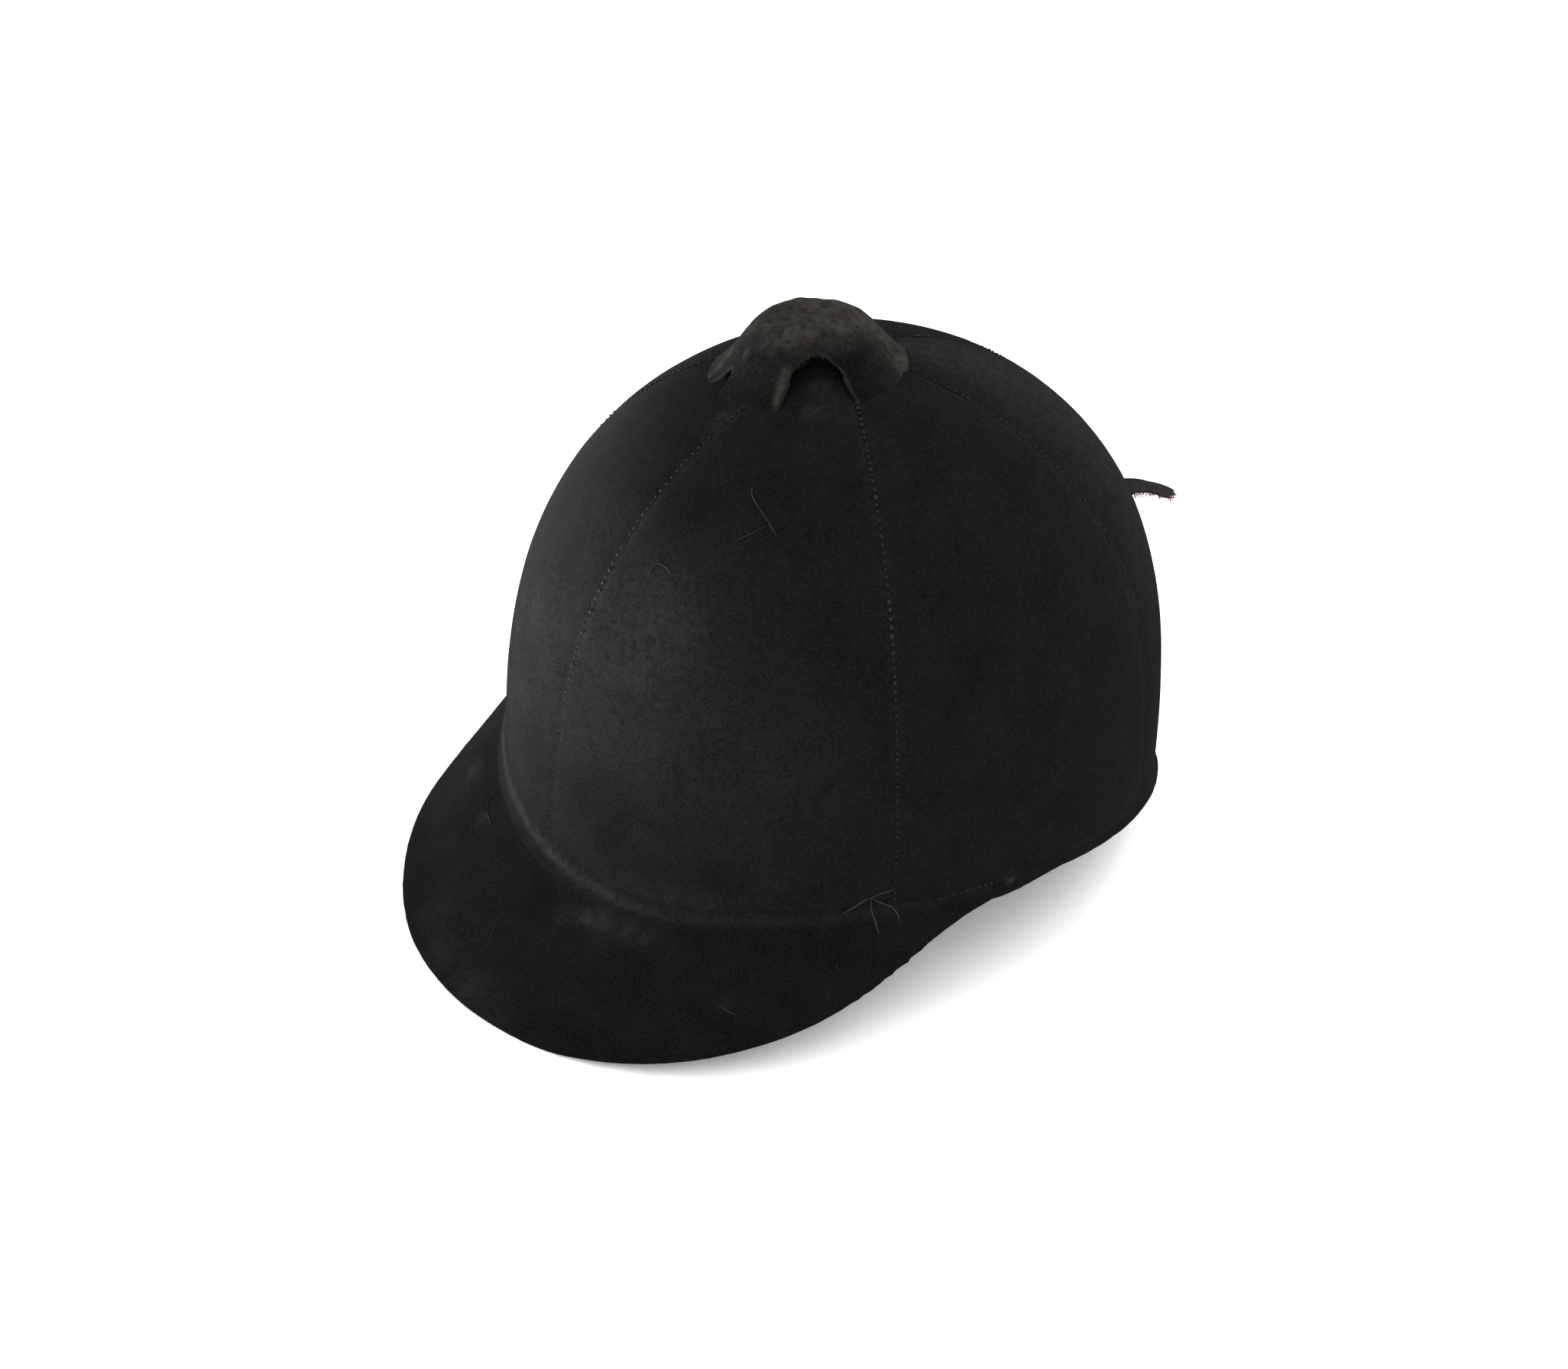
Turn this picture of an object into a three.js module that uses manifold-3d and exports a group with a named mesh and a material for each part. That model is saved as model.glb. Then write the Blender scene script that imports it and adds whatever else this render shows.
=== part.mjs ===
// A velvet riding hat: six sewn gores over a stiff shell, a drooping peak, a binding round the rim, a domed
// button with an arched skirt over the vent hole, and a torn strip of velvet high at the back.
// Millimetres, +Z up, standing on z = 0. The peak points to -Y and the wearer's left is +X.
// Angles are degrees round the crown: 0 at the front, 90 at the wearer's left, 180 at the back.
import * as THREE from 'three';
import { mergeVertices } from 'three/addons/utils/BufferGeometryUtils.js';
import Module from 'manifold-3d';

const wasm = await Module();
wasm.setup();

// Crown, measured over the velvet
const HALF_WIDTH = 100;
const FRONT_REACH = 109;
const BACK_REACH = 115;
const CROWN_TOP = 172;
const APEX_SHIFT = -2.6; // the top lies a little forward of the middle
const PROFILE_SIDE = 3.7; // a higher power keeps the sides upright for longer
const PROFILE_TOP = 1.72; // a lower power makes the top more pointed
const WALL = 3;
const GAP = 0.34; // between neighbours that are sewn or glued together
const JUNCTION_GAP = 0.7; // along the curved line where the gores end
const VENT_RADIUS = 6;

// Seams of the crown, as they are sewn: the angle over most of the height, and at the foot, where the front
// seam runs askew. The names are those of the gores that follow each seam.
const SEAMS = [
  { angle: -2, foot: -5.5, gore: 'crown_front_left' },
  { angle: 60, foot: 60, gore: 'crown_side_left' },
  { angle: 118, foot: 118, gore: 'crown_back_left' },
  { angle: 180, foot: 180, gore: 'crown_back_right' },
  { angle: 240, foot: 240, gore: 'crown_side_right' },
  { angle: 299, foot: 299, gore: 'crown_front_right' },
];
const SEAM_DEPTH = 0.9; // the velvet is pulled in along a seam
const SEAM_REACH = 0.06; // share of a gore's width that the pull takes in
const GORE_COLUMNS = [0, 0.02, 0.06, 0.18, 0.31, 0.44, 0.56, 0.69, 0.82, 0.94, 0.98, 1];
const GORE_ROWS = 16;

// Lower line of the hat on either side: junction is where the gores end, rim is the binding's lowest line.
const LOWER_LINE = [
  { angle: 0, junction: 27.3, rim: 24 },
  { angle: 20, junction: 30.7, rim: 27.3 },
  { angle: 40, junction: 36.8, rim: 33 },
  { angle: 60, junction: 40, rim: 35.4 },
  { angle: 77, junction: 40.4, rim: 34.6 },
  { angle: 88, junction: 41, rim: 35.4 },
  { angle: 100, junction: 38, rim: 32 },
  { angle: 112, junction: 34, rim: 27.4 },
  { angle: 135, junction: 23, rim: 16.4 },
  { angle: 155, junction: 12.4, rim: 6 },
  { angle: 168, junction: 7, rim: 0 },
  { angle: 180, junction: 6.8, rim: 0 },
];
const BINDING_PROUD = 1.8; // how far the binding stands out from the crown, past the peak
const BINDING_ROUND = 0.9; // rounding of its lower edges
const BINDING_STATIONS = 108;

// Peak on either side: reach is how far its edge is from the crown, edge is the height of its underside there.
const PEAK_LINE = [
  { angle: 0, reach: 42, edge: 0 },
  { angle: 12, reach: 40.6, edge: 0 },
  { angle: 20, reach: 38, edge: 2 },
  { angle: 30, reach: 33, edge: 5.4 },
  { angle: 40, reach: 26, edge: 10 },
  { angle: 50, reach: 17.8, edge: 15.6 },
  { angle: 60, reach: 9.6, edge: 22.6 },
  { angle: 70, reach: 3.4, edge: 31 },
  { angle: 77, reach: 1.5, edge: 34.4 },
];
const PEAK_END = 77;
const PEAK_STATIONS = 44;
const PEAK_ROOT = 3.3; // upright thickness where it meets the crown
const PEAK_EDGE = 2.4; // upright thickness at its edge
const PEAK_CROWNING = 2.4; // rise of its middle over a straight slope
const PEAK_SHARES = [0, 0.025, 0.055, 0.085, 0.25, 0.42, 0.6, 0.78, 0.93, 1];
const RIDGE_HEIGHT = 1; // soft ridge along the junction
const RIDGE_SHARE = 0.085; // share of the peak's reach that the ridge takes

// Button: a dome over the vent, with a thin skirt that lies on the crown
const BUTTON_SHIFT = { x: -6, y: -10 }; // from the middle of the crown, as it is sewn on
const BUTTON_RADIUS = 30.2;
const BUTTON_THICK = 1.6;
const BUTTON_SEGMENTS = 40;
// Clear height under the dome, over the crown, from its middle outwards
const DOME_PROFILE = [
  { radius: 0, under: 13 },
  { radius: 6, under: 12.8 },
  { radius: 11, under: 11.9 },
  { radius: 15.5, under: 10.2 },
  { radius: 19, under: 8.1 },
  { radius: 22, under: 5.4 },
  { radius: 24.5, under: 2.9 },
  { radius: 27, under: 1 },
  { radius: BUTTON_RADIUS, under: 0 },
];
// Arches in the skirt: width at the foot and height of the point over the crown's top
const SKIRT_ARCHES = [
  { angle: 55, width: 27, height: 8 },
  { angle: -22, width: 14, height: 2 },
  { angle: 162, width: 14, height: 1 },
  { angle: 220, width: 14, height: 1 },
  { angle: 278, width: 14, height: 1 },
];
const ARCH_FOOT = -12; // foot of every arch, below the crown's top
const ARCH_START = 9; // where an arch starts, from the button's middle
const ARCH_LENGTH = 34;

// Torn strip high at the back
const TAB_ANGLE = 150;
const TAB_HEIGHT = 112;
const TAB_THICK = 1.4;
// Sections from the root outwards: out is along the strip, rise is up, width is across it
const TAB_LINE = [
  { out: 0.2, rise: 0, width: 9 },
  { out: 4.5, rise: 1, width: 8.6 },
  { out: 9, rise: 1.2, width: 8 },
  { out: 13, rise: 0.6, width: 7 },
  { out: 16, rise: -0.4, width: 5 },
  { out: 18, rise: -1.2, width: 2.4 },
];

const radians = THREE.MathUtils.degToRad;

// Value of one column of a table at an angle or radius, eased without overshoot between the rows
function readTable(table, key, column, at) {
  const steps = table.slice(1).map((row, i) => (row[column] - table[i][column]) / (row[key] - table[i][key]));
  const slopes = table.map((row, i) => {
    const [before, after] = [steps[i - 1], steps[i]];
    if (before === undefined || after === undefined || before * after <= 0) return 0;
    return (2 * before * after) / (before + after);
  });
  const last = table.length - 2;
  const i = Math.min(last, Math.max(0, table.findIndex((row) => row[key] >= at) - 1));
  const span = table[i + 1][key] - table[i][key];
  const t = THREE.MathUtils.clamp((at - table[i][key]) / span, 0, 1);
  const [a, b] = [table[i][column], table[i + 1][column]];
  const ease = t * t * (3 - 2 * t);
  return a + (b - a) * ease + span * (slopes[i] * t * (1 - t) ** 2 - slopes[i + 1] * t * t * (1 - t));
}

// Angle from the front, on whichever side is nearer, from 0 to 180
function fromFront(angle) {
  const turned = ((angle % 360) + 360) % 360;
  return Math.min(turned, 360 - turned);
}

const junctionHeight = (angle) => readTable(LOWER_LINE, 'angle', 'junction', fromFront(angle));
const rimHeight = (angle) => readTable(LOWER_LINE, 'angle', 'rim', fromFront(angle));

// Share of the full width that the crown keeps at a height
function fullness(height) {
  const t = THREE.MathUtils.clamp(height / CROWN_TOP, 0, 1);
  return (1 - t ** PROFILE_SIDE) ** (1 / PROFILE_TOP);
}

function crownSkin(angle, height) {
  const a = radians(angle);
  const reach = Math.cos(a) > 0 ? FRONT_REACH : BACK_REACH;
  const share = fullness(height);
  const lean = APEX_SHIFT * (height / CROWN_TOP) ** 2;
  return new THREE.Vector3(HALF_WIDTH * Math.sin(a) * share, -reach * Math.cos(a) * share + lean, height);
}

// Point on the crown, moved out along its normal
function crownPoint(angle, height, offset = 0) {
  const step = 0.02;
  const point = crownSkin(angle, height);
  const round = crownSkin(angle + step, height).sub(crownSkin(angle - step, height));
  const up = crownSkin(angle, height + step).sub(crownSkin(angle, height - step));
  return point.addScaledVector(round.cross(up).normalize(), offset);
}

// Point beside the crown's lower part: level with the height, and out from the crown in plan
function besideCrown(angle, height, out, from = height) {
  const step = 0.02;
  const round = crownSkin(angle + step, from).sub(crownSkin(angle - step, from));
  const outward = new THREE.Vector3(round.y, -round.x, 0).normalize();
  return crownSkin(angle, from).setZ(height).addScaledVector(outward, out);
}

// Height of the crown's top over a place in plan, near the apex
function crownTopAt(x, y) {
  const reach = y < 0 ? FRONT_REACH : BACK_REACH;
  const share = Math.hypot(x / HALF_WIDTH, (y - APEX_SHIFT) / reach);
  return CROWN_TOP * (1 - share ** PROFILE_TOP) ** (1 / PROFILE_SIDE);
}

// Height on the crown where its fullness is a given share
const heightAtFullness = (share) => CROWN_TOP * (1 - share ** PROFILE_TOP) ** (1 / PROFILE_SIDE);

function signedVolume(points, faces) {
  return faces.reduce((sum, [a, b, c]) => {
    const cross = new THREE.Vector3().crossVectors(points[b], points[c]);
    return sum + points[a].dot(cross) / 6;
  }, 0);
}

// Closed body through rings of points. Each ring goes along one side and comes back along the other, so an
// open row of rings is closed at both ends by strips between its two sides.
function skin(rings, endless = false) {
  const size = rings[0].length;
  const points = rings.flat();
  const faces = [];
  const quad = (a, b, c, d) => faces.push([a, b, c], [a, c, d]);
  const joins = endless ? rings.length : rings.length - 1;
  for (let r = 0; r < joins; r += 1) {
    const next = (r + 1) % rings.length;
    for (let i = 0; i < size; i += 1) {
      const j = (i + 1) % size;
      quad(r * size + i, r * size + j, next * size + j, next * size + i);
    }
  }
  if (!endless) {
    const end = (rings.length - 1) * size;
    for (let i = 0; i < size / 2 - 1; i += 1) {
      const j = size - 1 - i;
      quad(i, j, j - 1, i + 1);
      quad(end + i, end + i + 1, end + j - 1, end + j);
    }
  }
  if (signedVolume(points, faces) < 0) faces.forEach((face) => face.reverse());
  const geometry = new THREE.BufferGeometry().setFromPoints(points);
  geometry.setIndex(faces.flat());
  return geometry;
}

// Geometry with its vertices merged, as a solid that can be cut
function toSolid(geometry) {
  const bare = geometry.clone();
  bare.deleteAttribute('normal');
  bare.deleteAttribute('uv');
  const merged = mergeVertices(bare, 1e-4);
  const vertProperties = new Float32Array(merged.attributes.position.array);
  const triVerts = new Uint32Array(merged.index.array);
  return new wasm.Manifold(new wasm.Mesh({ numProp: 3, vertProperties, triVerts }));
}

function toGeometry(solid) {
  const mesh = solid.getMesh();
  const geometry = new THREE.BufferGeometry();
  geometry.setAttribute('position', new THREE.BufferAttribute(mesh.vertProperties, mesh.numProp));
  geometry.setIndex(new THREE.BufferAttribute(mesh.triVerts, 1));
  return geometry;
}

// Angle of a seam where a share of the climb to the top is done
const seamAngle = (seam, climb) => seam.angle + (seam.foot - seam.angle) * (1 - climb) ** 2;

function gore(seam, nextSeam) {
  const rings = [];
  for (let row = 0; row <= GORE_ROWS; row += 1) {
    const climb = Math.sin((row / GORE_ROWS) * (Math.PI / 2));
    const top = heightAtFullness(VENT_RADIUS / HALF_WIDTH);
    const [from, to] = [seamAngle(seam, climb), seamAngle(nextSeam, climb)];
    const side = (column, offset) => {
      const low = junctionHeight(from + (to - from) * column) + JUNCTION_GAP / 2;
      const height = low + (top - low) * climb;
      const margin = THREE.MathUtils.radToDeg(GAP / 2 / (HALF_WIDTH * fullness(height)));
      const angle = from + margin + (to - from - 2 * margin) * column;
      return crownPoint(angle, height, offset);
    };
    const pull = (column) => {
      const near = Math.min(column, 1 - column) / SEAM_REACH;
      return near < 1 ? SEAM_DEPTH * (1 - near) ** 2 : 0;
    };
    const outer = GORE_COLUMNS.map((column) => side(column, -pull(column)));
    const inner = GORE_COLUMNS.map((column) => side(column, -WALL));
    rings.push([...outer, ...inner.reverse()]);
  }
  return skin(rings);
}

// Rounded band that closes the crown's lower edge. Behind the peak it stays flush with the crown.
function rimBinding() {
  const rings = [];
  for (let i = 0; i < BINDING_STATIONS; i += 1) {
    const angle = (360 * i) / BINDING_STATIONS;
    const proud = BINDING_PROUD * THREE.MathUtils.smoothstep(fromFront(angle), PEAK_END + 1, PEAK_END + 8);
    const top = junctionHeight(angle) - JUNCTION_GAP / 2;
    const low = rimHeight(angle);
    const at = (out, height) => besideCrown(angle, height, out, top);
    rings.push([
      at(0, top),
      at(proud, low + (top - low) * 0.7),
      at(proud, low + BINDING_ROUND),
      at(proud - BINDING_ROUND, low),
      at(BINDING_ROUND - WALL, low),
      at(-WALL, low + BINDING_ROUND),
      at(-WALL, low + (top - low) * 0.7),
      at(-WALL, top),
    ]);
  }
  return skin(rings, true);
}

function peak() {
  const rings = [];
  for (let i = 0; i <= PEAK_STATIONS; i += 1) {
    const angle = PEAK_END * ((2 * i) / PEAK_STATIONS - 1);
    const reach = readTable(PEAK_LINE, 'angle', 'reach', fromFront(angle));
    const edge = readTable(PEAK_LINE, 'angle', 'edge', fromFront(angle));
    const root = junctionHeight(angle) - JUNCTION_GAP / 2;
    const crowning = (PEAK_CROWNING * reach) / PEAK_LINE[0].reach;
    const section = (share, from, to, lift) => {
      const out = GAP + (reach - GAP) * share;
      return besideCrown(angle, from + (to - from) * share + lift, out, root);
    };
    const rise = (share) => crowning * 4 * share * (1 - share);
    const ridge = (share) => RIDGE_HEIGHT * Math.sin(Math.PI * Math.min(1, share / RIDGE_SHARE));
    const rounding = (share) => (share === 1 ? PEAK_EDGE * 0.3 : 0);
    const above = PEAK_SHARES.map((share) =>
      section(share, root, edge + PEAK_EDGE, rise(share) + ridge(share) - rounding(share)));
    const below = PEAK_SHARES.map((share) => section(share, root - PEAK_ROOT, edge, rise(share)));
    rings.push([...above, ...below.reverse()]);
  }
  return skin(rings);
}

// Prism with a pointed arch for its end, lying along a radius of the button
function archCutter({ angle, width, height }) {
  const arch = new THREE.Shape();
  arch.moveTo(-width / 2, ARCH_FOOT);
  arch.lineTo(width / 2, ARCH_FOOT);
  arch.quadraticCurveTo(width * 0.36, height - 1, 0, height);
  arch.quadraticCurveTo(-width * 0.36, height - 1, -width / 2, ARCH_FOOT);
  const prism = new THREE.ExtrudeGeometry(arch, { depth: ARCH_LENGTH, bevelEnabled: false, curveSegments: 6 });
  prism.rotateX(Math.PI / 2); // the arch stands up and the prism runs to -Y, the front
  prism.translate(0, -ARCH_START, 0);
  prism.rotateZ(radians(angle));
  prism.translate(BUTTON_SHIFT.x, BUTTON_SHIFT.y, CROWN_TOP);
  return toSolid(prism);
}

function topButton() {
  const under = DOME_PROFILE.map(({ radius, under: clear }) => new THREE.Vector2(radius, clear + GAP));
  const over = DOME_PROFILE.map(({ radius, under: clear }) => {
    const thin = radius === BUTTON_RADIUS ? 0.6 : 1;
    return new THREE.Vector2(radius, clear + GAP + BUTTON_THICK * thin);
  });
  const dome = new THREE.LatheGeometry([...under, ...over.reverse()], BUTTON_SEGMENTS);
  dome.rotateX(Math.PI / 2);
  const places = dome.attributes.position;
  for (let i = 0; i < places.count; i += 1) {
    const x = places.getX(i) + BUTTON_SHIFT.x;
    const y = places.getY(i) + BUTTON_SHIFT.y;
    places.setXYZ(i, x, y, places.getZ(i) + crownTopAt(x, y));
  }
  let solid = toSolid(dome);
  SKIRT_ARCHES.forEach((row) => {
    solid = solid.subtract(archCutter(row));
  });
  return toGeometry(solid);
}

function backTab() {
  const root = crownPoint(TAB_ANGLE, TAB_HEIGHT);
  const outward = crownPoint(TAB_ANGLE, TAB_HEIGHT, 1).sub(crownPoint(TAB_ANGLE, TAB_HEIGHT)).setZ(0).normalize();
  const across = new THREE.Vector3(-outward.y, outward.x, 0);
  const rings = TAB_LINE.map(({ out, rise, width }) => {
    const middle = root.clone().addScaledVector(outward, out).setZ(root.z + rise);
    const corner = (sideways, up) =>
      middle.clone().addScaledVector(across, sideways * width / 2).add(new THREE.Vector3(0, 0, up));
    return [corner(-1, TAB_THICK), corner(1, TAB_THICK), corner(1, 0), corner(-1, 0)];
  });
  return skin(rings);
}

// Worn black velvet, and the faded olive velvet of the button
const VELVET = { color: 0x1c1c1e, roughness: 0.95, metalness: 0 };
const FADED_VELVET = { color: 0x37342b, roughness: 0.95, metalness: 0 };

const hat = new THREE.Group();
// The hat's middle, from the tip of the peak to the back of the binding, stands over the origin
hat.position.y = (FRONT_REACH + PEAK_LINE[0].reach - BACK_REACH - BINDING_PROUD) / 2;

function addPiece(name, geometry, finish) {
  const mesh = new THREE.Mesh(geometry, new THREE.MeshStandardMaterial(finish));
  mesh.name = name;
  hat.add(mesh);
}

const firstAgain = { angle: SEAMS[0].angle + 360, foot: SEAMS[0].foot + 360 };
SEAMS.forEach((seam, i) => {
  addPiece(seam.gore, gore(seam, SEAMS[i + 1] ?? firstAgain), VELVET);
});
addPiece('rim_binding', rimBinding(), VELVET);
addPiece('peak', peak(), VELVET);
addPiece('top_button', topButton(), FADED_VELVET);
addPiece('back_tab', backTab(), VELVET);

export default hat;
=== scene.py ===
# %% [markdown]
# # A worn riding hat of black velvet
# The real hat is a stiff shell covered with six sewn gores of velvet, with a drooping peak, a bound rim and
# a velvet button over the vent on its top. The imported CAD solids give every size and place, so this lesson
# starts by loading them. It then dresses them one piece at a time, from the big smooth forms to the stitches,
# the frayed edges and the lint.

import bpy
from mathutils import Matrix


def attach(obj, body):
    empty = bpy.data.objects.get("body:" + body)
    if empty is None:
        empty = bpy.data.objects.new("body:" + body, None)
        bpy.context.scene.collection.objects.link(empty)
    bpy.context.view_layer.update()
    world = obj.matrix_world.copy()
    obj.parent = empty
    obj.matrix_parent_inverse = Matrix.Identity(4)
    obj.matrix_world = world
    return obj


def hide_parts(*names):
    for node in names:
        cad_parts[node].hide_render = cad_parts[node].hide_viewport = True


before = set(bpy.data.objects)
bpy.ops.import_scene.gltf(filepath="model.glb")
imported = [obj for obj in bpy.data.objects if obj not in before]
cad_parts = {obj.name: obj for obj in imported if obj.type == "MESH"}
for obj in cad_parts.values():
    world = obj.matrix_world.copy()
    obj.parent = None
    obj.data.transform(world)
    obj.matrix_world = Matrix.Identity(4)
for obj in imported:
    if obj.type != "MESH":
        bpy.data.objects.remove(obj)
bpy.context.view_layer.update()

# %% [markdown]
# ## Helpers for working by hand
# Blender's operators act on whatever is selected, so each step first selects one object alone. Sizes are
# written in millimetres, as a maker would, and turned into metres by one constant.

# %% Helpers
import math
import random

import bpy
from mathutils import Matrix, Vector, kdtree, noise
from mathutils.bvhtree import BVHTree

MM = 0.001
chance = random.Random(7)


def select_only(piece):
    bpy.ops.object.select_all(action="DESELECT")
    piece.select_set(True)
    bpy.context.view_layer.objects.active = piece
    return piece


def finish_modifier(piece, kind, **settings):
    """Adds a modifier, sets it and applies it, so that the finished mesh holds its shape."""
    select_only(piece)
    modifier = piece.modifiers.new(kind.title(), kind)
    for name, value in settings.items():
        setattr(modifier, name, value)
    bpy.ops.object.modifier_apply(modifier=modifier.name)


def ease(value, start, end):
    """0 before start, 1 after end, and a smooth step in between."""
    t = min(1.0, max(0.0, (value - start) / (end - start)))
    return t * t * (3 - 2 * t)


# %% [markdown]
# ## The camera
# The camera stands in front and to the left of the hat and looks down on it. A long lens from 0.8 m keeps
# the crown round without much perspective. The small shift moves the hat off the
# middle of the picture without turning the camera.

# %% Camera
AIM = Vector((0, 17.1, 80)) * MM
AZIMUTH, ELEVATION, ROLL = (math.radians(a) for a in (46.2, 32.28, 2.32))
DISTANCE = 800 * MM
PICTURE = (2052, 1792)
FOCAL_PIXELS = 3269.5
AIM_PIXEL = (1094.8, 794.6)

backward = Vector((
    math.sin(AZIMUTH) * math.cos(ELEVATION), -math.cos(AZIMUTH) * math.cos(ELEVATION), math.sin(ELEVATION),
))
level = Vector((math.cos(AZIMUTH), math.sin(AZIMUTH), 0))
upright = backward.cross(level)
rightward = math.cos(ROLL) * level + math.sin(ROLL) * upright
upward = math.cos(ROLL) * upright - math.sin(ROLL) * level
eye = AIM + DISTANCE * backward

bpy.ops.object.camera_add(location=eye, rotation=Matrix((rightward, upward, backward)).transposed().to_euler())
camera = bpy.context.object
camera.data.sensor_width = 36
camera.data.lens = 36 * FOCAL_PIXELS / PICTURE[0]
camera.data.shift_x = (PICTURE[0] / 2 - AIM_PIXEL[0]) / PICTURE[0]
camera.data.shift_y = (AIM_PIXEL[1] - PICTURE[1] / 2) / PICTURE[0]
bpy.context.scene.camera = camera
print(f"camera {DISTANCE:.2f} m away, {camera.data.lens:.1f} mm lens")

# %% [markdown]
# ## The lines the hat was cut to
# Stitches and wear follow the hat's own lines: its seams, and the junction where the crown meets the peak
# and the binding. These are the same named sizes that the solids were drawn from, so a stitch can be put on
# a seam by its angle round the crown and its share of the climb to the top.

# %% Crown lines
HALF_WIDTH, FRONT_REACH, BACK_REACH, CROWN_TOP = 100, 109, 115, 172
APEX_SHIFT = -2.6  # the top lies this far forward of the middle
PROFILE_SIDE, PROFILE_TOP = 3.7, 1.72  # powers that bend the flank and the top
HAT_SHIFT = Vector((0, 17.1, 0))  # from the frame's origin to the crown's middle
VENT_SHARE = 0.06  # share of the crown's width that the seams leave open at the top
# Each seam's angle over most of its height, and at its foot
SEAMS = {
    "front": (-2, -5.5), "left_front": (60, 60), "left_back": (118, 118),
    "back": (180, 180), "right_back": (240, 240), "right_front": (299, 299),
}
# Angle from the front, to either side, and the height of the line where the gores end
JUNCTION = [
    (0, 27.3), (20, 30.7), (40, 36.8), (60, 40), (77, 40.4), (88, 41), (100, 38), (112, 34), (135, 23),
    (155, 12.4), (168, 7), (180, 6.8),
]


def junction_height(angle):
    """Height in mm of the line where the gores end, at an angle round the crown from the front."""
    turned = angle % 360
    turned = min(turned, 360 - turned)
    steps = [(b[1] - a[1]) / (b[0] - a[0]) for a, b in zip(JUNCTION, JUNCTION[1:])]
    slopes = [0] + [2 * a * b / (a + b) if a * b > 0 else 0 for a, b in zip(steps, steps[1:])] + [0]
    i = max(0, min(len(JUNCTION) - 2, sum(row[0] < turned for row in JUNCTION) - 1))
    (start, low), (end, high) = JUNCTION[i], JUNCTION[i + 1]
    t = (turned - start) / (end - start)
    bend = slopes[i] * t * (1 - t) ** 2 - slopes[i + 1] * t * t * (1 - t)
    return low + (high - low) * t * t * (3 - 2 * t) + (end - start) * bend


def crown_skin(angle, height):
    a = math.radians(angle)
    reach = FRONT_REACH if math.cos(a) > 0 else BACK_REACH
    share = (1 - min(1, height / CROWN_TOP) ** PROFILE_SIDE) ** (1 / PROFILE_TOP)
    lean = APEX_SHIFT * (height / CROWN_TOP) ** 2
    return Vector((HALF_WIDTH * math.sin(a) * share, lean - reach * math.cos(a) * share, height)) + HAT_SHIFT


def crown_place(angle, height, out=0):
    """Point on the crown and its outward normal, in metres, from sizes in mm."""
    point = crown_skin(angle, height)
    round_it = crown_skin(angle + 0.05, height) - crown_skin(angle - 0.05, height)
    climb = crown_skin(angle, height + 0.05) - crown_skin(angle, height - 0.05)
    outward = round_it.cross(climb).normalized()
    return (point + outward * out) * MM, outward


VENT_HEIGHT = CROWN_TOP * (1 - VENT_SHARE ** PROFILE_TOP) ** (1 / PROFILE_SIDE)


def seam_place(seam, climb, out=0):
    angle, foot = SEAMS[seam]
    angle += (foot - angle) * (1 - climb) ** 2
    low = junction_height(angle) + 0.35
    return crown_place(angle, low + (VENT_HEIGHT - low) * climb, out)


print("seam feet in mm:", {name: round(junction_height(foot), 1) for name, (_, foot) in SEAMS.items()})

# %% [markdown]
# ## Cloth forms from the solids
# The solids have flat facets and sharp corners, but velvet over a shell is smooth and its edges are soft. A
# copy of each solid keeps the exact place. Its loose triangles are merged and joined back into four sided
# faces, so that a subdivision surface can round it evenly. Sharp edges are creased, or they would melt away
# and open the seams. The solids stand a third of a millimetre apart, but sewn cloth touches, so the walls
# along each seam and along the junction are first moved up to their neighbours.

# %% Copy and smooth a solid
def hat_outward(point):
    """Level direction from the hat's middle line to a point."""
    return Vector((point.x, point.y - HAT_SHIFT.y * MM, 0)).normalized()


def push_walls(piece, chosen, step):
    """Moves the corners of the chosen faces by step(middle, normal), in mm."""
    moves = {}
    for face in piece.data.polygons:
        if chosen(face.center, face.normal):
            for index in face.vertices:
                moves.setdefault(index, []).append(step(face.center, face.normal))
    for index, steps in moves.items():
        piece.data.vertices[index].co += sum(steps, Vector()) / len(steps) * MM
    piece.data.update()


def side_wall(middle, normal):
    return abs(normal.dot(Vector((0, 0, 1)).cross(hat_outward(middle)))) > 0.85


def smooth_copy(node, name, crease, walls=()):
    """Copies a node's solid, joins its facets, creases its edges, moves its walls and rounds it."""
    piece = bpy.data.objects.new(name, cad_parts[node].data.copy())
    bpy.context.scene.collection.objects.link(piece)
    piece.data.materials.clear()
    select_only(piece)
    bpy.ops.mesh.customdata_custom_splitnormals_clear()
    bpy.ops.object.mode_set(mode="EDIT")
    bpy.ops.mesh.select_all(action="SELECT")
    bpy.ops.mesh.remove_doubles(threshold=0.01 * MM)
    bpy.ops.mesh.tris_convert_to_quads(face_threshold=math.radians(50), shape_threshold=math.radians(70))
    bpy.ops.mesh.select_all(action="DESELECT")
    bpy.ops.mesh.select_mode(type="EDGE")
    bpy.ops.mesh.edges_select_sharp(sharpness=math.radians(50))
    bpy.ops.transform.edge_crease(value=crease)
    bpy.ops.mesh.select_mode(type="VERT")
    bpy.ops.object.mode_set(mode="OBJECT")
    for chosen, step in walls:
        push_walls(piece, chosen, step)
    finish_modifier(piece, "SUBSURF", levels=2, render_levels=2)
    select_only(piece)
    bpy.ops.object.shade_smooth_by_angle(angle=math.radians(48))
    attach(piece, "root")
    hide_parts(node)
    return piece


def tuck_under(middle, normal):
    """The gores reach down behind the peak, and just onto the binding elsewhere."""
    behind_peak = ease(-hat_outward(middle).y, 0.22, 0.4)
    return Vector((0, 0, -1.1 - 1.6 * behind_peak))


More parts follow.
